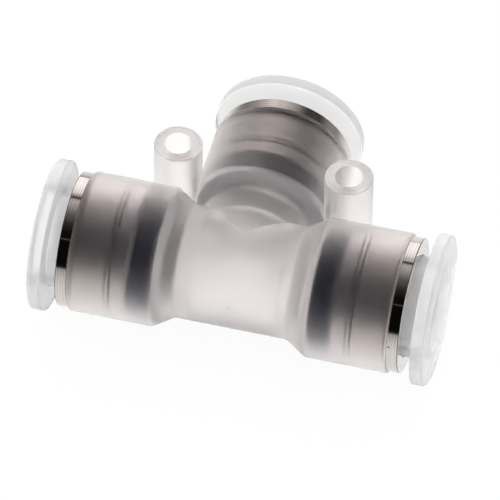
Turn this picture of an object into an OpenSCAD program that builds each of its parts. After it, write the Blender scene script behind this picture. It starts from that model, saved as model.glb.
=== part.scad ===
// Push-in tee fitting for plastic tube: a moulded body with three equal ports and two screw eyelets.
// Every port holds the same stack: seal, backing ring, toothed grip ring, guide ring and release ring.
// Frame: the run lies along X, the branch points along +Y and the eyelets stand along Z.
// The origin is the point where the axes of the run and the branch cross.

/* [Tube] */
// Outer diameter of the tube that the ports take
tube_d = 12; // [8:0.5:16]
// Wall of that tube, which sets the flow bore
tube_wall = 1.25; // [1:0.05:2]
// Length of tube held in the body beyond the seal chamber
tube_seat_l = 5.2; // [4:0.1:5.8]
// Distance from the centre to the stop that the tube meets
stop_s = 6.7; // [6:0.1:7.5]

/* [Body] */
// Distance from the centre to the face of a release ring
port_reach = 30; // [30:0.5:36]
// Wall of the body around the seal chamber
socket_wall = 1.35; // [1.1:0.05:2.5]
// Wall of the hub around the flow bore
hub_wall = 3.75; // [3.2:0.05:4.5]
// Length of the cone between the hub and a socket
cone_l = 3.13; // [2:0.05:3.6]
// How far the cone starts behind the floor of the seal chamber
shoulder_back = 0.2; // [0.1:0.05:0.8]
// Radius that rounds the shoulder of a socket
shoulder_round = 0.7; // [0.2:0.1:1]
// Radius in the corner between the hub and the cone
hub_fillet = 1.2; // [0.4:0.1:1.5]
// Radius that rounds the mouth of a socket
mouth_round = 0.25; // [0.1:0.05:0.4]

/* [Eyelets] */
// Diameter of the screw holes
eyelet_hole_d = 4.2; // [3.2:0.1:5.2]
// Wall around a screw hole
eyelet_wall = 1.5; // [1.2:0.05:2]
// How far an eyelet stands out past the release flanges, at each end
eyelet_proud = 0.04; // [0:0.02:0.6]
// Gap along the run between the branch socket and the edge of a screw hole
eyelet_gap_x = 0.4; // [0:0.1:1.2]
// How deep the edge of a screw hole cuts into the wall of the run
eyelet_bite_y = 0.2; // [0:0.05:0.4]
// Radius that rounds the ends of an eyelet
eyelet_round = 0.3; // [0.1:0.05:0.5]

/* [Seal] */
// Width of the seal along the port
seal_w = 3.15; // [2.4:0.05:3.4]
// How much smaller than the tube the relaxed sealing lip is, on the radius
seal_pinch = 0.2; // [0.05:0.05:0.4]

/* [Backing ring] */
// Width of the backing ring along the port
backing_w = 2.55; // [2.3:0.05:2.9]
// Gap between the tube and the bore of the backing ring
backing_gap = 0.35; // [0.2:0.05:0.5]
// Chamfer on the outer edges of the metal rings inside the body
ring_chamfer = 0.3; // [0.1:0.05:0.4]

/* [Grip ring] */
// Thickness of the spring steel grip ring
grip_t = 0.4; // [0.25:0.05:0.5]
// Number of teeth on the grip ring
grip_teeth = 16; // [8:1:20]
// How far the teeth bite into the tube, on the radius
grip_bite = 0.1; // [0.02:0.02:0.2]
// How far the teeth lean into the port
grip_lean = 1.3; // [1:0.05:1.5]
// How far the flat rim reaches inward past the wall that clamps it
grip_rim_reach = 0.5; // [0.4:0.05:0.7]
// Width of the slot between two teeth
grip_slot = 0.5; // [0.3:0.05:0.7]

/* [Guide ring] */
// Length of the collar that shows outside the body
collar_l = 1.85; // [1.4:0.05:2.2]
// How far the collar stays below the outside of the body, on the radius
collar_drop = 0.37; // [0.1:0.02:0.6]
// Wall of the guide ring inside the body
guide_wall = 0.7; // [0.6:0.05:0.9]
// Length of the narrow bore that the release ring slides in
guide_bore_l = 3.4; // [3:0.1:3.6]
// Width of the relief groove behind the collar
relief_w = 0.4; // [0.2:0.05:1.2]
// Depth of the relief groove behind the collar
relief_depth = 0.25; // [0.1:0.05:0.7]

/* [Release ring] */
// Wall of the release ring where it slides in the guide ring
sleeve_wall = 1.45; // [1.3:0.05:1.7]
// Thickness of the flange that is pressed with the fingers
flange_t = 2; // [1.5:0.05:2.5]
// How far the flange stands out past the body, on the radius
flange_over = 0.86; // [0.4:0.02:1.6]
// Travel of the release ring when it is pressed
press_travel = 1.9; // [1.4:0.05:1.9]
// Height of the hooks that hold the release ring in the guide ring
hook_h = 0.75; // [0.6:0.05:0.9]
// Length of the full height of the hooks
hook_l = 0.95; // [0.6:0.05:1.1]
// Number of slits that let the hooks spring inward
slit_count = 6; // [4:1:8]
// Wall of the release ring at its nose
nose_wall = 0.95; // [0.8:0.05:1.1]
// Width of the slits
slit_w = 0.9; // [0.6:0.1:1.2]
// Radius that rounds the pressed edge of the flange
flange_round = 0.45; // [0.2:0.05:0.7]

/* [Clearances] */
// Gap between the tube and the bores that guide it, on the radius
tube_clear = 0.1; // [0.05:0.01:0.2]
// Gap between the release ring and the guide ring, on the radius
slide_clear = 0.1; // [0.06:0.01:0.15]
// Gap between the pieces fitted in the body and its bore, on the radius
fit_clear = 0.05; // [0.02:0.01:0.1]
// Gap left along the port between stacked pieces
stack_clear = 0.05; // [0.02:0.01:0.1]
// Gap along the port between the floor of the chamber and the seal
seal_floor_gap = 0.1; // [0.05:0.05:0.3]
// Gap along the port between the seal and the backing ring
seal_ring_gap = 0.3; // [0.1:0.05:0.4]
// Gap along the port between the hooks and the shoulder that holds them
hook_gap = 0.15; // [0.05:0.05:0.3]
// Gap left between the flange and the collar when the release ring is pressed
press_clear = 0.1; // [0.05:0.01:0.2]
// Gap left between the nose of the pressed release ring and the teeth
nose_clear = 0.12; // [0.08:0.01:0.2]

/* [Hidden] */
$fn = 96;

// Directions of the ports, as rotations of a port that is drawn along +Z
left = [0, -90, 0];
right = [0, 90, 0];
branch = [-90, 0, 0];

// Radii, from the tube outward
tube_r = tube_d / 2;
flow_r = tube_r - tube_wall;
bore_r = tube_r + tube_clear;
sleeve_r = bore_r + sleeve_wall;
guide_bore_r = sleeve_r + slide_clear;
hook_r = sleeve_r + hook_h;
guide_recess_r = hook_r + slide_clear;
guide_r = guide_recess_r + guide_wall;
chamber_r = guide_r + fit_clear;
socket_r = chamber_r + socket_wall;
hub_r = flow_r + hub_wall;
collar_r = socket_r - collar_drop;
flange_r = socket_r + flange_over;

// Distances along a port, from its outer face inward
flange_s = port_reach - flange_t;
collar_s = flange_s - press_travel - press_clear;
mouth_s = collar_s - collar_l;

// Distances along a port, from the centre outward
floor_s = stop_s + tube_seat_l;
shoulder_s = floor_s - shoulder_back;
hub_s = shoulder_s - cone_l;
seal_s = floor_s + seal_floor_gap;
backing_s = seal_s + seal_w + seal_ring_gap;
grip_s = backing_s + backing_w + stack_clear;
guide_s = grip_s + grip_t + stack_clear;

// Grip ring: its flat rim reaches past the wall that clamps it, to where the teeth start to lean
grip_root_r = guide_recess_r - grip_rim_reach;
grip_tip_r = tube_r - grip_bite;
tooth_slope = grip_lean / (grip_root_r - grip_tip_r);

// Release ring at rest: its nose stops short of the teeth when the ring is pressed
nose_r = bore_r + nose_wall;
nose_outer_s = grip_s + grip_t - (grip_root_r - nose_r) * tooth_slope + nose_clear + press_travel;
nose_inner_s = nose_outer_s - nose_wall * tooth_slope;
guide_shoulder_s = collar_s - guide_bore_l;
hook_s = guide_shoulder_s - hook_gap;

// Eyelets
eyelet_hole_r = eyelet_hole_d / 2;
eyelet_r = eyelet_hole_r + eyelet_wall;
eyelet_x = socket_r + eyelet_gap_x + eyelet_hole_r;
eyelet_y = socket_r - eyelet_bite_y + eyelet_hole_r;
eyelet_z = flange_r + eyelet_proud;

// Small edge breaks, the overshoot of cutting shapes and the steps of a rounded corner
edge = 0.15;
cut = 1;
arc_steps = 5;

// Points that replace corner b, between a and c, by an arc of radius r
function unit(v) = v / norm(v);
function corner(a, b, c, r) =
    let (
        to_a = unit(a - b),
        to_c = unit(c - b),
        half = acos(to_a * to_c) / 2,
        centre = b + unit(to_a + to_c) * r / sin(half),
        from = b + to_a * r / tan(half) - centre,
        to = b + to_c * r / tan(half) - centre,
        start = atan2(from.y, from.x),
        turn = atan2(to.y, to.x) - start,
        sweep = turn > 180 ? turn - 360 : turn < -180 ? turn + 360 : turn
    )
    [for (i = [0 : arc_steps]) centre + r * [cos(start + sweep * i / arc_steps), sin(start + sweep * i / arc_steps)]];

// Outline through points [radius, distance, rounding], where rounding may be left out
function outline(points) =
    let (last = len(points) - 1)
    [
        for (i = [0 : last])
            let (
                p = points[i],
                before = points[i == 0 ? last : i - 1],
                after = points[i == last ? 0 : i + 1],
                flat = function (q) [q[0], q[1]]
            )
            each is_undef(p[2]) ? [flat(p)] : corner(flat(before), flat(p), flat(after), p[2])
    ];

// Revolves an outline about the axis of a port
module turned(points) {
    rotate_extrude()
        polygon(outline(points));
}

// One half of the outside of the run, and all of the outside of the branch
socket_side = [
    [hub_r, hub_s, hub_fillet],
    [socket_r, shoulder_s, shoulder_round],
    [socket_r, mouth_s, mouth_round]
];

// The bores of one port: flow bore, tube seat with its lead-in, and the chamber for the stack
seat_lead = 0.6;
cavity_side = [
    [flow_r, stop_s],
    [bore_r, stop_s],
    [bore_r, floor_s - seat_lead],
    [bore_r + seat_lead, floor_s],
    [chamber_r, floor_s],
    [chamber_r, mouth_s + cut]
];

// A side outline reflected to the other end of the run
function reflected(side) = [for (i = [len(side) - 1 : -1 : 0]) let (p = side[i]) [p[0], -p[1], p[2]]];

module run_and_branch(side, end_s) {
    rotate(right)
        turned(concat([[0, -end_s]], reflected(side), side, [[0, end_s]]));
    rotate(branch)
        turned(concat([[0, 0], [side[0][0], 0]], side, [[0, end_s]]));
}

module at_eyelets() {
    for (side = [-1, 1])
        translate([side * eyelet_x, eyelet_y, 0])
            children();
}

module eyelet() {
    turned([
        [0, -eyelet_z],
        [eyelet_r, -eyelet_z, eyelet_round],
        [eyelet_r, eyelet_z, eyelet_round],
        [0, eyelet_z]
    ]);
}

module body() {
    color([0.88, 0.88, 0.9, 0.55])
    difference() {
        union() {
            run_and_branch(socket_side, mouth_s);
            at_eyelets()
                eyelet();
        }
        run_and_branch(cavity_side, mouth_s + cut);
        at_eyelets()
            cylinder(h = 2 * (eyelet_z + cut), r = eyelet_hole_r, center = true);
    }
}

// Soft ring with one lip that wipes the tube and a crown that seals in the chamber
module seal() {
    lip_r = tube_r - seal_pinch;
    crown_r = chamber_r - fit_clear;
    color([0.1, 0.11, 0.13])
    turned([
        [lip_r + 0.9, seal_s, 0.3],
        [crown_r - 0.35, seal_s, 0.3],
        [crown_r, seal_s + seal_w * 0.45, 0.8],
        [crown_r - 0.35, seal_s + seal_w, 0.3],
        [lip_r + 0.8, seal_s + seal_w, 0.3],
        [lip_r, seal_s + seal_w * 0.72, 0.25],
        [lip_r + 0.65, seal_s + seal_w * 0.34, 0.2]
    ]);
}

// Metal ring behind the seal, hollowed out so that the teeth can bend inward
module backing_ring() {
    inner_r = tube_r + backing_gap;
    hollow_r = grip_root_r + backing_gap;
    hollow_l = (hollow_r - inner_r) * tooth_slope + backing_gap;
    color([0.7, 0.7, 0.7])
    turned([
        [inner_r, backing_s],
        [guide_r - ring_chamfer, backing_s],
        [guide_r, backing_s + ring_chamfer],
        [guide_r, backing_s + backing_w - ring_chamfer],
        [guide_r - ring_chamfer, backing_s + backing_w],
        [hollow_r, backing_s + backing_w],
        [inner_r, backing_s + backing_w - hollow_l]
    ]);
}

// Thin disc whose flat rim is held between two rings and whose teeth lean inward
module grip_ring() {
    slot_root_r = grip_root_r - 0.15;
    color([0.78, 0.78, 0.76])
    difference() {
        turned([
            [guide_r, grip_s],
            [guide_r, grip_s + grip_t],
            [grip_root_r, grip_s + grip_t],
            [grip_tip_r, grip_s + grip_t - grip_lean],
            [grip_tip_r + grip_t / 2, grip_s - grip_lean + grip_t / 4],
            [grip_root_r, grip_s]
        ]);
        for (i = [0 : grip_teeth - 1])
            rotate([0, 0, i * 360 / grip_teeth])
                translate([0, 0, grip_s - grip_lean - cut]) {
                    translate([0, -grip_slot / 2, 0])
                        cube([slot_root_r, grip_slot, grip_lean + grip_t + 2 * cut]);
                    translate([slot_root_r, 0, 0])
                        cylinder(h = grip_lean + grip_t + 2 * cut, r = grip_slot * 0.7);
                }
    }
}

// Turned metal ring that closes the port, guides the release ring and holds its hooks
module guide_ring() {
    relief_r = guide_r - relief_depth;
    collar_back_s = mouth_s + stack_clear;
    color([0.76, 0.75, 0.72])
    turned([
        [guide_recess_r, guide_s],
        [guide_r - ring_chamfer, guide_s],
        [guide_r, guide_s + ring_chamfer],
        [guide_r, mouth_s - relief_w - relief_depth],
        [relief_r, mouth_s - relief_w],
        [relief_r, collar_back_s],
        [collar_r, collar_back_s, edge],
        [collar_r, collar_s, edge],
        [guide_bore_r + edge, collar_s],
        [guide_bore_r, collar_s - edge],
        [guide_bore_r, guide_shoulder_s],
        [guide_recess_r, guide_shoulder_s]
    ]);
}

// Sliding collet: pressed inward, its nose spreads the teeth and frees the tube
module release_ring() {
    slit_end_s = (hook_s + collar_s) / 2;
    color([0.95, 0.95, 0.94])
    difference() {
        turned([
            [bore_r, nose_inner_s],
            [nose_r, nose_outer_s],
            [hook_r, hook_s - hook_l],
            [hook_r, hook_s],
            [sleeve_r, hook_s],
            [sleeve_r, flange_s, edge],
            [flange_r, flange_s, flange_round / 2],
            [flange_r, port_reach, flange_round],
            [bore_r, port_reach, edge]
        ]);
        for (i = [0 : slit_count - 1])
            rotate([0, 0, (i + 0.5) * 360 / slit_count])
                translate([0, 0, nose_inner_s - cut]) {
                    translate([0, -slit_w / 2, 0])
                        cube([hook_r + cut, slit_w, slit_end_s - nose_inner_s + cut]);
                    translate([0, 0, slit_end_s - nose_inner_s + cut])
                        rotate([0, 90, 0])
                            cylinder(h = hook_r + cut, r = slit_w / 2);
                }
    }
}

body();
rotate(left) seal();  // left_seal
rotate(left) backing_ring();  // left_backing_ring
rotate(left) grip_ring();  // left_grip_ring
rotate(left) guide_ring();  // left_guide_ring
rotate(left) release_ring();  // left_release_ring
rotate(right) seal();  // right_seal
rotate(right) backing_ring();  // right_backing_ring
rotate(right) grip_ring();  // right_grip_ring
rotate(right) guide_ring();  // right_guide_ring
rotate(right) release_ring();  // right_release_ring
rotate(branch) seal();  // branch_seal
rotate(branch) backing_ring();  // branch_backing_ring
rotate(branch) grip_ring();  // branch_grip_ring
rotate(branch) guide_ring();  // branch_guide_ring
rotate(branch) release_ring();  // branch_release_ring
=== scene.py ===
import math

import bpy
from mathutils import Matrix, Vector


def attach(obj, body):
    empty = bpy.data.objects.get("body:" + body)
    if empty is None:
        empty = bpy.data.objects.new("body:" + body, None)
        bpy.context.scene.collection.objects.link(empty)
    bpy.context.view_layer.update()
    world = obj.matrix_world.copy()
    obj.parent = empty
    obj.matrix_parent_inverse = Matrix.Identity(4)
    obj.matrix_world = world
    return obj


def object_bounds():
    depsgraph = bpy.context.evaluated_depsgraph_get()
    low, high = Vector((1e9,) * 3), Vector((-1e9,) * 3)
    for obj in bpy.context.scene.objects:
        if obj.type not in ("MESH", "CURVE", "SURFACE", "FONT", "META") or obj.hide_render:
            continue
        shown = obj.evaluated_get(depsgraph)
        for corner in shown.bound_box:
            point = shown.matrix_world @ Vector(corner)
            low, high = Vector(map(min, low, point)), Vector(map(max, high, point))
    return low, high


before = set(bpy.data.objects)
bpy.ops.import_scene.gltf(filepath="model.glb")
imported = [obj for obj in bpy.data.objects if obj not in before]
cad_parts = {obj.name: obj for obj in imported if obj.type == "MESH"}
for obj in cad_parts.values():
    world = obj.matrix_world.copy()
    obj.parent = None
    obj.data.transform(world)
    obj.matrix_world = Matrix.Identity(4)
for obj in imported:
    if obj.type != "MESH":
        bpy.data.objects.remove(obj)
cadLow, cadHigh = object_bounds()
print("frame loaded:", len(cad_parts), "nodes")

mm = 0.001
slack = 0.05                # mm, for finding a flat face by its place
ports = ("left", "right", "branch")


def linear(hexColour):
    # sRGB hex to linear RGBA
    channels = [int(hexColour[i:i + 2], 16) / 255 for i in (1, 3, 5)]
    return [c / 12.92 if c <= 0.04045 else ((c + 0.055) / 1.055) ** 2.4 for c in channels] + [1.0]


def addNode(tree, kind, settings=None, inputs=None, links=None, stops=None):
    # A link comes from a socket, or from the first output of a node
    node = tree.nodes.new(kind)
    for name, value in (settings or {}).items():
        setattr(node, name, value)
    # The stops of a colour ramp: position and grey level
    for i, (place, level) in enumerate(stops or ()):
        stop = node.color_ramp.elements[i] if i < 2 else node.color_ramp.elements.new(place)
        stop.position = place
        stop.color = (level, level, level, 1)
    for name, value in (inputs or {}).items():
        node.inputs[name].default_value = value
    for name, source in (links or {}).items():
        socket = source.outputs[0] if isinstance(source, bpy.types.Node) else source
        tree.links.new(socket, node.inputs[name])
    return node


def newMaterial(name):
    material = bpy.data.materials.new(name)
    material.use_nodes = True
    material.node_tree.nodes.clear()
    return material, material.node_tree


# Camera: the photograph's view, from a fit to the edges of the mouths, flanges and eyelets
camera = {
    "azimuth": 13.72,       # degrees, from looking along +Y
    "elevation": 48.33,
    "roll": 0.82,
    "distance": 1078.3,     # mm, from the target
    "target": (0.05, 4.51, 0.0),
    "lens": 524.7,          # mm, on a 36 mm sensor
}


def makeCamera():
    a, e, r = (math.radians(camera[k]) for k in ("azimuth", "elevation", "roll"))
    back = Vector((math.sin(a) * math.cos(e), -math.cos(a) * math.cos(e), math.sin(e)))
    level = Vector((math.cos(a), math.sin(a), 0))
    upright = back.cross(level)
    right = math.cos(r) * level + math.sin(r) * upright
    up = math.cos(r) * upright - math.sin(r) * level
    data = bpy.data.cameras.new("camera")
    data.lens = camera["lens"]
    data.sensor_width = 36
    data.clip_start = 0.01
    data.clip_end = 50
    obj = bpy.data.objects.new("camera", data)
    place = (Vector(camera["target"]) + back * camera["distance"]) * mm
    obj.matrix_world = Matrix.Translation(place) @ Matrix((right, up, back)).transposed().to_4x4()
    bpy.context.scene.collection.objects.link(obj)
    bpy.context.scene.camera = obj


makeCamera()
print("camera placed")

# Studio: a white floor, a softbox behind the object and a dark room in front of it. The lamps light only what
# scatters light: the rubber, the release rings and the floor. Metal and frosted plastic show the room.
studio = {
    "floorGap": 0.05,           # mm under the lowest point
    "floorHalf": 3000,          # mm
    "floorColour": "#f4f4f4",
    "floorGlow": 0.95,          # share of the floor that is plain white to the camera, the rest holds shadows
    # What metal and plastic show of it: mm from the object, level
    "floorFades": ((0, 1.0), (30, 0.93), (44, 0.74), (67, 0.56), (126, 0.4), (160, 0.3), (260, 0.02)),
    "floorSide": 150,           # mm, how far that goes on to the left and right
    "floorThrough": 0.2,        # how much brighter it looks through the plastic
    # Name, place and size in metres, watts
    "softboxes": (
        ("back softbox", (-0.25, 1.0, 0.75), 0.9, 8.0),
        ("top softbox", (0.2, -0.3, 1.3), 0.8, 2.0),
        ("right softbox", (1.2, 0.2, 0.4), 0.6, 4.0),
        ("left softbox", (-1.2, 0.2, 0.4), 0.6, 4.0),
    ),
}


def makeFloor():
    z = cadLow.z - studio["floorGap"] * mm
    h = studio["floorHalf"] * mm
    mesh = bpy.data.meshes.new("floor")
    mesh.from_pydata([(-h, -h, z), (h, -h, z), (h, h, z), (-h, h, z)], [], [(0, 1, 2, 3)])
    floor = bpy.data.objects.new("floor", mesh)
    bpy.context.scene.collection.objects.link(floor)
    material, tree = newMaterial("white acrylic sheet")
    rays = addNode(tree, "ShaderNodeLightPath")
    mirrored = addNode(tree, "ShaderNodeMath", {"operation": "MAXIMUM"},
                       links={0: rays.outputs["Is Glossy Ray"], 1: rays.outputs["Is Transmission Ray"]})
    share = addNode(tree, "ShaderNodeMath", {"operation": "MULTIPLY_ADD", "use_clamp": True},
                    {1: studio["floorGlow"]}, {0: rays.outputs["Is Camera Ray"], 2: mirrored})
    # Even behind the object, fading to the front and the sides
    where = addNode(tree, "ShaderNodeTexCoord")
    parts = addNode(tree, "ShaderNodeSeparateXYZ", links={0: where.outputs["Object"]})
    aside = addNode(tree, "ShaderNodeMath", {"operation": "ABSOLUTE"}, links={0: parts.outputs["X"]})
    aside = addNode(tree, "ShaderNodeMath", {"operation": "MINIMUM"},
                    {1: studio["floorSide"] * mm}, {0: aside})
    front = addNode(tree, "ShaderNodeMath", {"operation": "MINIMUM"}, {1: 0.0}, {0: parts.outputs["Y"]})
    flat = addNode(tree, "ShaderNodeCombineXYZ", links={"X": aside, "Y": front})
    away = addNode(tree, "ShaderNodeVectorMath", {"operation": "LENGTH"}, links={0: flat})
    span = studio["floorFades"][-1][0]
    away = addNode(tree, "ShaderNodeMath", {"operation": "DIVIDE"},
                   {1: span * mm}, {0: away.outputs["Value"]})
    fade = addNode(tree, "ShaderNodeValToRGB", links={0: away},
                   stops=[(distance / span, level) for distance, level in studio["floorFades"]])
    through = addNode(tree, "ShaderNodeMath", {"operation": "MULTIPLY_ADD"}, {1: studio["floorThrough"]},
                      {0: rays.outputs["Is Transmission Ray"], 2: fade})
    level = addNode(tree, "ShaderNodeMath", {"operation": "MAXIMUM"},
                    links={0: through, 1: rays.outputs["Is Camera Ray"]})
    matte = addNode(tree, "ShaderNodeBsdfDiffuse", inputs={"Color": linear(studio["floorColour"])})
    glow = addNode(tree, "ShaderNodeEmission", inputs={"Color": linear("#ffffff")}, links={"Strength": level})
    mix = addNode(tree, "ShaderNodeMixShader", links={0: share, 1: matte, 2: glow})
    addNode(tree, "ShaderNodeOutputMaterial", links={"Surface": mix})
    mesh.materials.append(material)


room = {
    # From the dark front over the ceiling to the softbox behind: degrees, brightness
    "over": ((0, 0.004), (45.2, 0.004), (45.8, 0.3), (46.4, 0.004), (58, 0.006), (65, 0.018), (73, 0.035),
             (81, 0.09), (89, 0.13), (97, 0.26), (105, 0.42), (113, 0.55), (118.5, 0.5), (120.5, 0.08),
             (124, 0.08), (126, 0.6), (133, 0.72), (138, 1.1), (145, 1.25), (157, 1.45), (180, 1.35)),
    # How that falls off to the left and right: X of the direction, share
    "across": ((-1, 0.2), (-0.74, 0.2), (-0.66, 0.29), (-0.53, 0.55), (-0.36, 1.0), (-0.16, 1.0),
               (0.05, 0.66), (0.16, 0.45), (0.26, 0.21), (0.36, 0.07), (0.6, 0.05), (0.66, 0.11),
               (0.74, 0.23), (1, 0.25)),
    "walls": ((-1, 0.45), (1, 0.2)),    # at the far left and right: side, brightness
    "wallEdge": (0.78, 0.92),   # X of the direction where they come in
    "warmth": "#fffaf8",
    # What the plastic shows of the room: the least share across it and a faint cool light from everywhere
    "leastAcross": 0.1,
    "haze": "#a4c4ff",
    "hazeLevel": 0.03,
    "backGlow": 1.6,        # how much brighter the middle of the softbox behind looks through it
    "backFrom": (135, 153),     # degrees, as above, between which it comes in
    "backMiddle": -0.16,    # X of the direction there
    "backSides": (0.25, 0.075),  # how far from the middle it begins and is full
}


def makeWorld():
    world = bpy.data.worlds.new("studio")
    bpy.context.scene.world = world
    world.use_nodes = True
    world.cycles.sampling_method = "NONE"   # it has no small bright spot to aim at
    tree = world.node_tree
    tree.nodes.clear()
    rays = addNode(tree, "ShaderNodeLightPath")
    direction = addNode(tree, "ShaderNodeTexCoord")
    parts = addNode(tree, "ShaderNodeSeparateXYZ", links={0: direction.outputs["Generated"]})
    toFront = addNode(tree, "ShaderNodeMath", {"operation": "MULTIPLY"}, {1: -1.0}, {0: parts.outputs["Y"]})
    angle = addNode(tree, "ShaderNodeMath", {"operation": "ARCTAN2"},
                    links={0: parts.outputs["Z"], 1: toFront})
    turn = addNode(tree, "ShaderNodeMath", {"operation": "DIVIDE"}, {1: math.pi}, {0: angle})
    over = addNode(tree, "ShaderNodeValToRGB", links={0: turn},
                   stops=[(degrees / 180, level) for degrees, level in room["over"]])
    span = addNode(tree, "ShaderNodeMath", {"operation": "MULTIPLY_ADD"},
                   {1: 0.5, 2: 0.5}, {0: parts.outputs["X"]})
    across = addNode(tree, "ShaderNodeValToRGB", links={0: span},
                     stops=[((x + 1) / 2, level) for x, level in room["across"]])
    least = addNode(tree, "ShaderNodeMath", {"operation": "MULTIPLY"}, {1: room["leastAcross"]},
                    {0: rays.outputs["Is Transmission Ray"]})
    share = addNode(tree, "ShaderNodeMath", {"operation": "MAXIMUM"}, links={0: across, 1: least})
    lit = addNode(tree, "ShaderNodeMath", {"operation": "MULTIPLY"}, links={0: over, 1: share})
    near, far = room["wallEdge"]
    for side, level in room["walls"]:
        wall = addNode(tree, "ShaderNodeMapRange", {"interpolation_type": "SMOOTHSTEP"},
                       {"From Min": side * near, "From Max": side * far, "To Max": level},
                       {"Value": parts.outputs["X"]})
        lit = addNode(tree, "ShaderNodeMath", {"operation": "ADD"}, links={0: lit, 1: wall})
    behind = addNode(tree, "ShaderNodeMapRange", {"interpolation_type": "SMOOTHSTEP"},
                     {"From Min": room["backFrom"][0] / 180, "From Max": room["backFrom"][1] / 180,
                      "To Max": room["backGlow"]}, {"Value": turn})
    aside = addNode(tree, "ShaderNodeMath", {"operation": "SUBTRACT"},
                    {1: room["backMiddle"]}, {0: parts.outputs["X"]})
    aside = addNode(tree, "ShaderNodeMath", {"operation": "ABSOLUTE"}, links={0: aside})
    middle = addNode(tree, "ShaderNodeMapRange", {"interpolation_type": "SMOOTHSTEP"},
                     {"From Min": room["backSides"][0], "From Max": room["backSides"][1]}, {"Value": aside})
    behind = addNode(tree, "ShaderNodeMath", {"operation": "MULTIPLY"}, links={0: behind, 1: middle})
    boost = addNode(tree, "ShaderNodeMath", {"operation": "MULTIPLY_ADD"}, {2: 1.0},
                    {0: behind, 1: rays.outputs["Is Transmission Ray"]})
    lit = addNode(tree, "ShaderNodeMath", {"operation": "MULTIPLY"}, links={0: lit, 1: boost})
    warm = addNode(tree, "ShaderNodeVectorMath", {"operation": "SCALE"}, {0: linear(room["warmth"])[:3]},
                   {"Scale": lit})
    haze = addNode(tree, "ShaderNodeMath", {"operation": "MULTIPLY"}, {1: room["hazeLevel"]},
                   {0: rays.outputs["Is Transmission Ray"]})
    cool = addNode(tree, "ShaderNodeVectorMath", {"operation": "SCALE"}, {0: linear(room["haze"])[:3]},
                   {"Scale": haze})
    seen = addNode(tree, "ShaderNodeVectorMath", {"operation": "ADD"}, links={0: warm, 1: cool})
    isPlain = addNode(tree, "ShaderNodeMath", {"operation": "MAXIMUM"},
                      links={0: rays.outputs["Is Camera Ray"], 1: rays.outputs["Is Diffuse Ray"]})
    # The camera sees plain white, and what scatters light is lit by as much from all sides
    colour = addNode(tree, "ShaderNodeMix", {"data_type": "RGBA"}, {7: (1, 1, 1, 1)}, {0: isPlain, 6: seen})
    background = addNode(tree, "ShaderNodeBackground", links={"Color": colour.outputs[2]})
    addNode(tree, "ShaderNodeOutputWorld", links={"Surface": background})


def addSoftbox(name, place, size, power):
    data = bpy.data.lights.new(name, "AREA")
    data.shape = "SQUARE"
    data.size = size
    data.energy = power
    lamp = bpy.data.objects.new(name, data)
    spot = Vector(place)
    lamp.matrix_world = Matrix.Translation(spot) @ spot.to_track_quat("Z", "Y").to_matrix().to_4x4()
    lamp.visible_glossy = False
    lamp.visible_transmission = False
    bpy.context.scene.collection.objects.link(lamp)


makeFloor()
makeWorld()
for softbox in studio["softboxes"]:
    addSoftbox(*softbox)
print("studio made")


def portPlace(tree):
    # Along a port's axis and out from it, in metres, the same for all three ports
    where = addNode(tree, "ShaderNodeTexCoord")
    size = addNode(tree, "ShaderNodeVectorMath", {"operation": "ABSOLUTE"},
                   links={0: where.outputs["Object"]})
    parts = addNode(tree, "ShaderNodeSeparateXYZ", links={0: size})
    along = addNode(tree, "ShaderNodeMath", {"operation": "MAXIMUM"},
                    links={0: parts.outputs["X"], 1: parts.outputs["Y"]})
    aside = addNode(tree, "ShaderNodeMath", {"operation": "MINIMUM"},
                    links={0: parts.outputs["X"], 1: parts.outputs["Y"]})
    flat = addNode(tree, "ShaderNodeCombineXYZ", links={"X": aside, "Y": parts.outputs["Z"]})
    out = addNode(tree, "ShaderNodeVectorMath", {"operation": "LENGTH"}, links={0: flat})
    return where.outputs["Object"], along, out.outputs["Value"]


frostedPp = {
    "colour": "#fffcfb",
    "ior": 1.49,
    "roughness": 0.37,      # outside
    "boreRoughness": 0.6,   # in the flow bores, from the coarser core pins
    "boreEnds": (6.3, 6.8),     # mm from a port's axis, where this goes over to the finish outside
    "seatRoughness": 0.7,   # on the flat seats of the seals
    "seats": 11.9,          # mm along the port
    "seatRadius": 9.3,      # mm, a little more than theirs
    "eyeletRoughness": 0.3,
    "eyeletEndRoughness": 0.08,     # the tool's polished end faces
    "eyelets": (13.0, 12.4),        # mm, X and Y of their centres
    "eyeletReach": (3.9, 4.3),      # mm from there, where their finish ends
    "eyeletEnds": 11.2,     # mm, from there up and down
    "gloss": 0.27,          # share of a smooth surface's reflection
    "cloud": 0.25,          # scatterings in each mm
    "cloudColour": "#ffffff",
    "forward": 0.92,        # how much of it goes on forward
    "grain": 0.18,          # mm, mould texture, some three times the real one so that it shows
    "grainHeight": 0.004,   # mm
}


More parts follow.
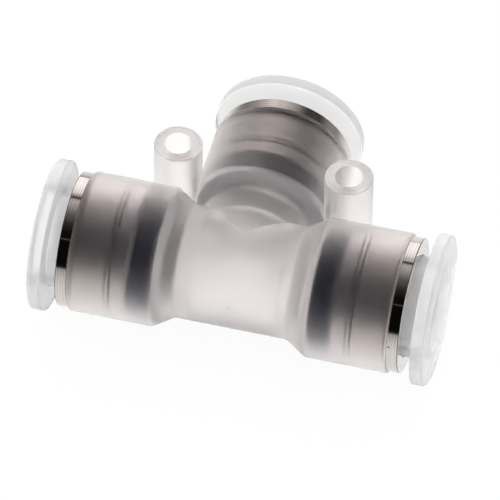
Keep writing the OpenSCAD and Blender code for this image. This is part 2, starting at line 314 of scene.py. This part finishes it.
def makeFrostedPp():
    # Natural polypropylene from a spark-eroded mould: lets light through, hides sharp edges, no clear gloss
    material, tree = newMaterial("frosted polypropylene")
    where, along, out = portPlace(tree)
    parts = addNode(tree, "ShaderNodeSeparateXYZ", links={0: where})
    front = addNode(tree, "ShaderNodeMath", {"operation": "MULTIPLY"}, {1: -1.0}, {0: parts.outputs["Y"]})
    near = addNode(tree, "ShaderNodeMath", {"operation": "MAXIMUM"}, links={0: out, 1: front})
    boreEnd, wall = frostedPp["boreEnds"]
    finish = addNode(tree, "ShaderNodeMapRange", {"interpolation_type": "SMOOTHSTEP"},
                     {"From Min": boreEnd * mm, "From Max": wall * mm,
                      "To Min": frostedPp["boreRoughness"], "To Max": frostedPp["roughness"]},
                     {"Value": near})
    nearSeat = addNode(tree, "ShaderNodeMath", {"operation": "COMPARE"},
                       {1: frostedPp["seats"] * mm, 2: slack * mm}, {0: along})
    insideWall = addNode(tree, "ShaderNodeMath", {"operation": "LESS_THAN"},
                         {1: frostedPp["seatRadius"] * mm}, {0: out})
    onSeat = addNode(tree, "ShaderNodeMath", {"operation": "MULTIPLY"},
                     links={0: nearSeat, 1: insideWall})
    withSeats = addNode(tree, "ShaderNodeMix", {"data_type": "FLOAT"}, {3: frostedPp["seatRoughness"]},
                        {0: onSeat, 2: finish})
    folded = addNode(tree, "ShaderNodeMath", {"operation": "ABSOLUTE"}, links={0: parts.outputs["X"]})
    flat = addNode(tree, "ShaderNodeCombineXYZ", links={"X": folded, "Y": parts.outputs["Y"]})
    x, y = frostedPp["eyelets"]
    fromEyelet = addNode(tree, "ShaderNodeVectorMath", {"operation": "DISTANCE"}, {1: (x * mm, y * mm, 0)},
                         {0: flat})
    inner, outer = frostedPp["eyeletReach"]
    onEyelet = addNode(tree, "ShaderNodeMapRange", {"interpolation_type": "SMOOTHSTEP"},
                       {"From Min": outer * mm, "From Max": inner * mm},
                       {"Value": fromEyelet.outputs["Value"]})
    height = addNode(tree, "ShaderNodeMath", {"operation": "ABSOLUTE"}, links={0: parts.outputs["Z"]})
    atEnd = addNode(tree, "ShaderNodeMath", {"operation": "GREATER_THAN"}, {1: frostedPp["eyeletEnds"] * mm},
                    {0: height})
    eyelet = addNode(tree, "ShaderNodeMix", {"data_type": "FLOAT"},
                     {2: frostedPp["eyeletRoughness"], 3: frostedPp["eyeletEndRoughness"]}, {0: atEnd})
    finish = addNode(tree, "ShaderNodeMix", {"data_type": "FLOAT"}, None,
                     {0: onEyelet, 2: withSeats, 3: eyelet})
    grain = addNode(tree, "ShaderNodeTexNoise", None,
                    {"Scale": 1 / (frostedPp["grain"] * mm), "Detail": 2.0}, {"Vector": where})
    bump = addNode(tree, "ShaderNodeBump", None,
                   {"Strength": 1.0, "Distance": frostedPp["grainHeight"] * mm}, {"Height": grain})
    skin = addNode(tree, "ShaderNodeBsdfPrincipled", inputs={
        "Base Color": linear(frostedPp["colour"]),
        "IOR": frostedPp["ior"],
        "Specular Tint": (frostedPp["gloss"],) * 3 + (1,),
        "Transmission Weight": 1.0,
    }, links={"Roughness": finish, "Normal": bump})
    inside = addNode(tree, "ShaderNodeVolumeScatter", inputs={
        "Color": linear(frostedPp["cloudColour"]),
        "Density": frostedPp["cloud"] / mm,
        "Anisotropy": frostedPp["forward"],
    })
    addNode(tree, "ShaderNodeOutputMaterial", links={"Surface": skin, "Volume": inside})
    return material


releasePp = {
    "colour": "#ffffff",
    "roughness": 0.2,
    "uneven": 0.06,         # how far that changes from patch to patch
    "patches": 2.5,         # mm
    "spread": (0.3, 0.7),   # of the noise, from the smoothest to the roughest patch
    "lines": 0.5,           # mm between flow lines
    "lineHeight": 0.006,    # mm
    "transmission": 0.6,
    "through": 2.5,         # mm that light of any colour goes on in the milky part
    "ior": 1.25,            # low, because its edges hardly bend what lies behind
    "cloud": 0.05,          # scatterings in each mm
    "forward": 0.8,
}


def makeReleasePp():
    # Moulded in a polished tool: semi-gloss, faint flow lines around it, and light glows through it
    material, tree = newMaterial("moulded white polypropylene")
    where, along, out = portPlace(tree)
    rings = addNode(tree, "ShaderNodeCombineXYZ", links={"X": along, "Y": out})
    lines = addNode(tree, "ShaderNodeTexNoise", {"noise_dimensions": "2D"},
                    {"Scale": 1 / (releasePp["lines"] * mm), "Detail": 2.0}, {"Vector": rings})
    patches = addNode(tree, "ShaderNodeTexNoise", None,
                      {"Scale": 1 / (releasePp["patches"] * mm), "Detail": 3.0}, {"Vector": where})
    gloss = addNode(tree, "ShaderNodeMapRange", None, {
        "From Min": releasePp["spread"][0],
        "From Max": releasePp["spread"][1],
        "To Min": releasePp["roughness"] - releasePp["uneven"],
        "To Max": releasePp["roughness"] + releasePp["uneven"],
    }, {"Value": patches})
    bump = addNode(tree, "ShaderNodeBump", None,
                   {"Strength": 1.0, "Distance": releasePp["lineHeight"] * mm}, {"Height": lines})
    skin = addNode(tree, "ShaderNodeBsdfPrincipled", inputs={
        "Base Color": linear(releasePp["colour"]),
        "IOR": releasePp["ior"],
        "Transmission Weight": releasePp["transmission"],
        "Subsurface Weight": 1.0,
        "Subsurface Radius": (1, 1, 1),
        "Subsurface Scale": releasePp["through"] * mm,
    }, links={"Roughness": gloss, "Normal": bump})
    inside = addNode(tree, "ShaderNodeVolumeScatter", inputs={
        "Color": linear(releasePp["colour"]),
        "Density": releasePp["cloud"] / mm,
        "Anisotropy": releasePp["forward"],
    })
    addNode(tree, "ShaderNodeOutputMaterial", links={"Surface": skin, "Volume": inside})
    return material


turned = {
    "nickel": {
        "name": "turned brass, nickel plated",
        "colour": "#dcd7d3",
        "filmAndShade": "#8f8680",  # darker colour: a film in the deeper turning marks, and painted shade inside the body and in lines at the mouth and the collar's end
        "streaks": 0.25,    # share of that film in the deepest turning marks in the open
        "paintedShadeInside": 0.35,     # painted shade: share of that colour all over the metal inside the body
        "inside": 0.4,      # roughness in the body
        "open": 0.07,       # and outside, where it is polished
        "marks": 0.18,      # mm between turning marks, twice the real pitch so that they show
        "depth": 0.0012,    # mm
        "pit": (24.61, 1.63),   # mm along the right port and up, a small pit in its collar
        "pitSize": 0.28,
        "pitDepth": 0.112,
        "collar": 10.13,    # mm, radius
    },
    "steel": {
        "name": "turned stainless steel",
        "colour": "#ccc8c8",
        "filmAndShade": "#b4b0b0",
        "streaks": 0.0,
        "paintedShadeInside": 0.5,      # painted shade: all of it lies inside the body, so all of it is painted darker
        "inside": 0.4,
        "open": 0.4,
        "marks": 0.3,
        "depth": 0.004,
    },
    "deepest": (0.4, 0.55),     # of the noise, from the deepest mark to where the film ends
    "mouth": 24.15,         # mm along the port, where the body ends
    "polish": 0.3,          # mm before it, where the polish begins
    "edges": (24.215, 25.9025),     # mm along the port, painted shade lines in the crevice at the mouth and at the collar's end
    "edge": 0.13,           # mm, their width
}


def makeTurnedMetal(look):
    # Turned on a lathe: fine rings around the axis, and a sharper shine in the open than inside the body
    material, tree = newMaterial(look["name"])
    where, along, out = portPlace(tree)
    rings = addNode(tree, "ShaderNodeCombineXYZ", links={"X": along, "Y": out})
    marks = addNode(tree, "ShaderNodeTexNoise", {"noise_dimensions": "2D"},
                    {"Scale": 1 / (look["marks"] * mm), "Detail": 3.0, "Roughness": 0.6}, {"Vector": rings})
    height = marks
    if "pit" in look:
        reach, up = look["pit"]
        front = -math.sqrt(look["collar"] ** 2 - up ** 2)
        away = addNode(tree, "ShaderNodeVectorMath", {"operation": "DISTANCE"},
                       {1: (reach * mm, front * mm, up * mm)}, {0: where})
        pit = addNode(tree, "ShaderNodeMapRange", {"interpolation_type": "SMOOTHSTEP"}, {
            "From Max": look["pitSize"] * mm,
            "To Min": -look["pitDepth"] / look["depth"],
            "To Max": 0.0,
        }, {"Value": away.outputs["Value"]})
        height = addNode(tree, "ShaderNodeMath", {"operation": "ADD"}, links={0: height, 1: pit})
    bump = addNode(tree, "ShaderNodeBump", None,
                   {"Strength": 1.0, "Distance": look["depth"] * mm}, {"Height": height})
    finish = addNode(tree, "ShaderNodeMapRange", {"interpolation_type": "SMOOTHSTEP"},
                     {"From Min": (turned["mouth"] - turned["polish"]) * mm, "From Max": turned["mouth"] * mm,
                      "To Min": look["inside"], "To Max": look["open"]}, {"Value": along})
    deep, shallow = turned["deepest"]
    streaks = addNode(tree, "ShaderNodeMapRange", {"interpolation_type": "SMOOTHSTEP"},
                      {"From Min": shallow, "From Max": deep, "To Max": look["streaks"]}, {"Value": marks})
    outside = addNode(tree, "ShaderNodeMath", {"operation": "GREATER_THAN"},
                      {1: turned["mouth"] * mm}, {0: along})
    # Painted shade: the colour is painted darker all over inside the body; in the open only the deeper
    # turning marks take the film
    filmAndShade = addNode(tree, "ShaderNodeMix", {"data_type": "FLOAT"},
                   {2: look["paintedShadeInside"]}, {0: outside, 3: streaks})
    # Painted shade: thin dark lines painted at the mouth and at the collar's end
    for edge in turned["edges"]:
        onShadeLine = addNode(tree, "ShaderNodeMath", {"operation": "COMPARE"},
                         {1: edge * mm, 2: turned["edge"] / 2 * mm}, {0: along})
        filmAndShade = addNode(tree, "ShaderNodeMath", {"operation": "MAXIMUM"}, links={0: filmAndShade, 1: onShadeLine})
    colour = addNode(tree, "ShaderNodeMix", {"data_type": "RGBA"},
                     {6: linear(look["colour"]), 7: linear(look["filmAndShade"])}, {0: filmAndShade})
    skin = addNode(tree, "ShaderNodeBsdfPrincipled", inputs={
        "Metallic": 1.0,
    }, links={"Base Color": colour.outputs[2], "Roughness": finish, "Normal": bump})
    addNode(tree, "ShaderNodeOutputMaterial", links={"Surface": skin})
    return material


springSteel = {
    "colour": "#b9b1b2",
    "roughness": 0.3,
    "grain": 0.12,          # mm between the lines left by rolling, drawn coarser so that they show
    "length": 12,           # times as long as wide
    "grainHeight": 0.002,   # mm
}


def makeSpringSteel():
    # Stamped from rolled strip: straight fine lines across the ring and a soft, satin shine
    material, tree = newMaterial("stamped spring steel")
    where = addNode(tree, "ShaderNodeTexCoord")
    stretch = addNode(tree, "ShaderNodeMapping", inputs={"Scale": (1, 1, 1 / springSteel["length"])},
                      links={"Vector": where.outputs["Object"]})
    lines = addNode(tree, "ShaderNodeTexNoise", None,
                    {"Scale": 1 / (springSteel["grain"] * mm), "Detail": 2.0}, {"Vector": stretch})
    bump = addNode(tree, "ShaderNodeBump", None,
                   {"Strength": 1.0, "Distance": springSteel["grainHeight"] * mm}, {"Height": lines})
    skin = addNode(tree, "ShaderNodeBsdfPrincipled", inputs={
        "Base Color": linear(springSteel["colour"]),
        "Roughness": springSteel["roughness"],
        "Metallic": 1.0,
    }, links={"Normal": bump})
    addNode(tree, "ShaderNodeOutputMaterial", links={"Surface": skin})
    return material


sealRubber = {
    "colour": "#141b3c",
    "greased": 0.4,         # roughness under grease
    "dry": 0.65,            # and where it is dry
    "patches": 1.5,         # mm
    "spread": (0.35, 0.65),  # of the noise, from greased to dry
    "grain": 0.1,           # mm, drawn coarser than the mould's so that it shows
    "grainHeight": 0.003,   # mm
    "gloss": 0.15,
}


def makeSealRubber():
    # Moulded nitrile rubber, blue-black, dull with greased patches
    material, tree = newMaterial("moulded nitrile rubber")
    where = addNode(tree, "ShaderNodeTexCoord")
    patches = addNode(tree, "ShaderNodeTexNoise", None,
                      {"Scale": 1 / (sealRubber["patches"] * mm), "Detail": 2.0},
                      {"Vector": where.outputs["Object"]})
    shine = addNode(tree, "ShaderNodeMapRange", None, {
        "From Min": sealRubber["spread"][0],
        "From Max": sealRubber["spread"][1],
        "To Min": sealRubber["greased"],
        "To Max": sealRubber["dry"],
    }, {"Value": patches})
    grain = addNode(tree, "ShaderNodeTexNoise", None,
                    {"Scale": 1 / (sealRubber["grain"] * mm), "Detail": 2.0},
                    {"Vector": where.outputs["Object"]})
    bump = addNode(tree, "ShaderNodeBump", None,
                   {"Strength": 1.0, "Distance": sealRubber["grainHeight"] * mm}, {"Height": grain})
    skin = addNode(tree, "ShaderNodeBsdfPrincipled", inputs={
        "Base Color": linear(sealRubber["colour"]),
        "Specular IOR Level": sealRubber["gloss"],
    }, links={"Roughness": shine, "Normal": bump})
    addNode(tree, "ShaderNodeOutputMaterial", links={"Surface": skin})
    return material


bodyFinish = makeFrostedPp()
releaseFinish = makeReleasePp()
nickel = makeTurnedMetal(turned["nickel"])
steel = makeTurnedMetal(turned["steel"])
spring = makeSpringSteel()
rubber = makeSealRubber()

finishes = {"seal": rubber, "backing_ring": steel, "grip_ring": spring, "guide_ring": nickel,
            "release_ring": releaseFinish}


def dress(node, material):
    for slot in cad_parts[node].material_slots:
        slot.material = material


dress("body", bodyFinish)
for port in ports:
    for piece, finish in finishes.items():
        dress(port + "_" + piece, finish)
print("finishes set")


# What the mould leaves on the body: the gate's stub on the front of the run, and three ejector pin marks
# underneath
mouldMarks = {
    "runRadius": 8.5,       # mm, of the hub under the gate
    "wallRadius": 10.5,     # mm, of the ports over the pins
    "gate": (0.0, 1.1),     # mm, X and Z
    "gateRadius": 0.32,
    "gateHeight": 0.07,
    "pinReach": 17.0,       # mm along each port
    "pinRadius": 1.2,
    "pinHeight": 0.04,
    "sink": 0.12,           # mm, how far all of them go into the wall
    "taper": 0.85,          # top to foot
    "corners": 48,
}


def markTree():
    # A stub and three discs in a row of ports a quarter turn apart, each a low cone that stands in the wall
    tree = bpy.data.node_groups.new("mould marks", "GeometryNodeTree")
    sockets = {}
    kinds = {"Gate Place": "Vector", "Gate Turn": "Vector", "Gate Radius": "Float", "Gate Depth": "Float",
             "Pin Reach": "Float", "Pin Level": "Float", "Pin Radius": "Float", "Pin Depth": "Float",
             "Finish": "Material"}
    for name, kind in kinds.items():
        sockets[name] = tree.interface.new_socket(name, in_out="INPUT", socket_type="NodeSocket" + kind)
    tree.interface.new_socket("Marks", in_out="OUTPUT", socket_type="NodeSocketGeometry")
    given = addNode(tree, "NodeGroupInput").outputs
    stubs = {}
    for name in ("Gate", "Pin"):
        tip = addNode(tree, "ShaderNodeMath", {"operation": "MULTIPLY"},
                      {1: mouldMarks["taper"]}, {0: given[name + " Radius"]})
        stubs[name] = addNode(tree, "GeometryNodeMeshCone", None, {"Vertices": mouldMarks["corners"]}, {
            "Radius Top": tip, "Radius Bottom": given[name + " Radius"], "Depth": given[name + " Depth"]})
    gate = addNode(tree, "GeometryNodeTransform", links={
        "Geometry": stubs["Gate"],
        "Translation": given["Gate Place"],
        "Rotation": given["Gate Turn"],
    })
    index = addNode(tree, "GeometryNodeInputIndex")
    angle = addNode(tree, "ShaderNodeMath", {"operation": "MULTIPLY"}, {1: math.pi / 2}, {0: index})
    place = {}
    for name in ("COSINE", "SINE"):
        turn = addNode(tree, "ShaderNodeMath", {"operation": name}, links={0: angle})
        place[name] = addNode(tree, "ShaderNodeMath", {"operation": "MULTIPLY"},
                              links={0: turn, 1: given["Pin Reach"]})
    spot = addNode(tree, "ShaderNodeCombineXYZ", links={
        "X": place["COSINE"], "Y": place["SINE"], "Z": given["Pin Level"]})
    points = addNode(tree, "GeometryNodePoints", None, {"Count": len(ports)}, {"Position": spot})
    pins = addNode(tree, "GeometryNodeInstanceOnPoints", None, {"Rotation": (math.pi, 0, 0)},
                   {"Points": points, "Instance": stubs["Pin"]})
    both = addNode(tree, "GeometryNodeJoinGeometry")
    for part in (pins, gate):
        tree.links.new(part.outputs[0], both.inputs[0])
    real = addNode(tree, "GeometryNodeRealizeInstances", links={0: both})
    finished = addNode(tree, "GeometryNodeSetMaterial", links={"Geometry": real, "Material": given["Finish"]})
    addNode(tree, "NodeGroupOutput", links={0: finished})
    return tree, sockets


def makeMouldMarks(material):
    tree, sockets = markTree()
    marks = bpy.data.objects.new("mould_marks", bpy.data.meshes.new("mould_marks"))
    bpy.context.scene.collection.objects.link(marks)
    modifier = marks.modifiers.new("mould marks", "NODES")
    modifier.node_group = tree
    x, z = mouldMarks["gate"]
    tilt = math.asin(z / mouldMarks["runRadius"])
    foot = mouldMarks["runRadius"] - mouldMarks["sink"]
    values = {
        "Gate Place": [v * mm for v in (x, -foot * math.cos(tilt), foot * math.sin(tilt))],
        "Gate Turn": [math.pi / 2 - tilt, 0, 0],
        "Gate Radius": mouldMarks["gateRadius"] * mm,
        "Gate Depth": (mouldMarks["gateHeight"] + mouldMarks["sink"]) * mm,
        "Pin Reach": mouldMarks["pinReach"] * mm,
        "Pin Level": -(mouldMarks["wallRadius"] - mouldMarks["sink"]) * mm,
        "Pin Radius": mouldMarks["pinRadius"] * mm,
        "Pin Depth": (mouldMarks["pinHeight"] + mouldMarks["sink"]) * mm,
        "Finish": material,
    }
    for name, value in values.items():
        modifier[sockets[name].identifier] = value
    evaluated = marks.evaluated_get(bpy.context.evaluated_depsgraph_get())
    mesh = bpy.data.meshes.new_from_object(evaluated)
    marks.modifiers.clear()
    marks.data = mesh
    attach(marks, "fitting")
    print("mould marks:", len(mesh.polygons), "faces")


makeMouldMarks(bodyFinish)

scene = bpy.context.scene
scene.view_settings.view_transform = "Standard"
scene.cycles.blur_glossy = 0.0      # keeps the metal's edges and bands sharp behind the plastic
scene.cycles.max_bounces = 64       # light passes many walls here
scene.cycles.glossy_bounces = 32
scene.cycles.transmission_bounces = 32
scene.cycles.volume_bounces = 32
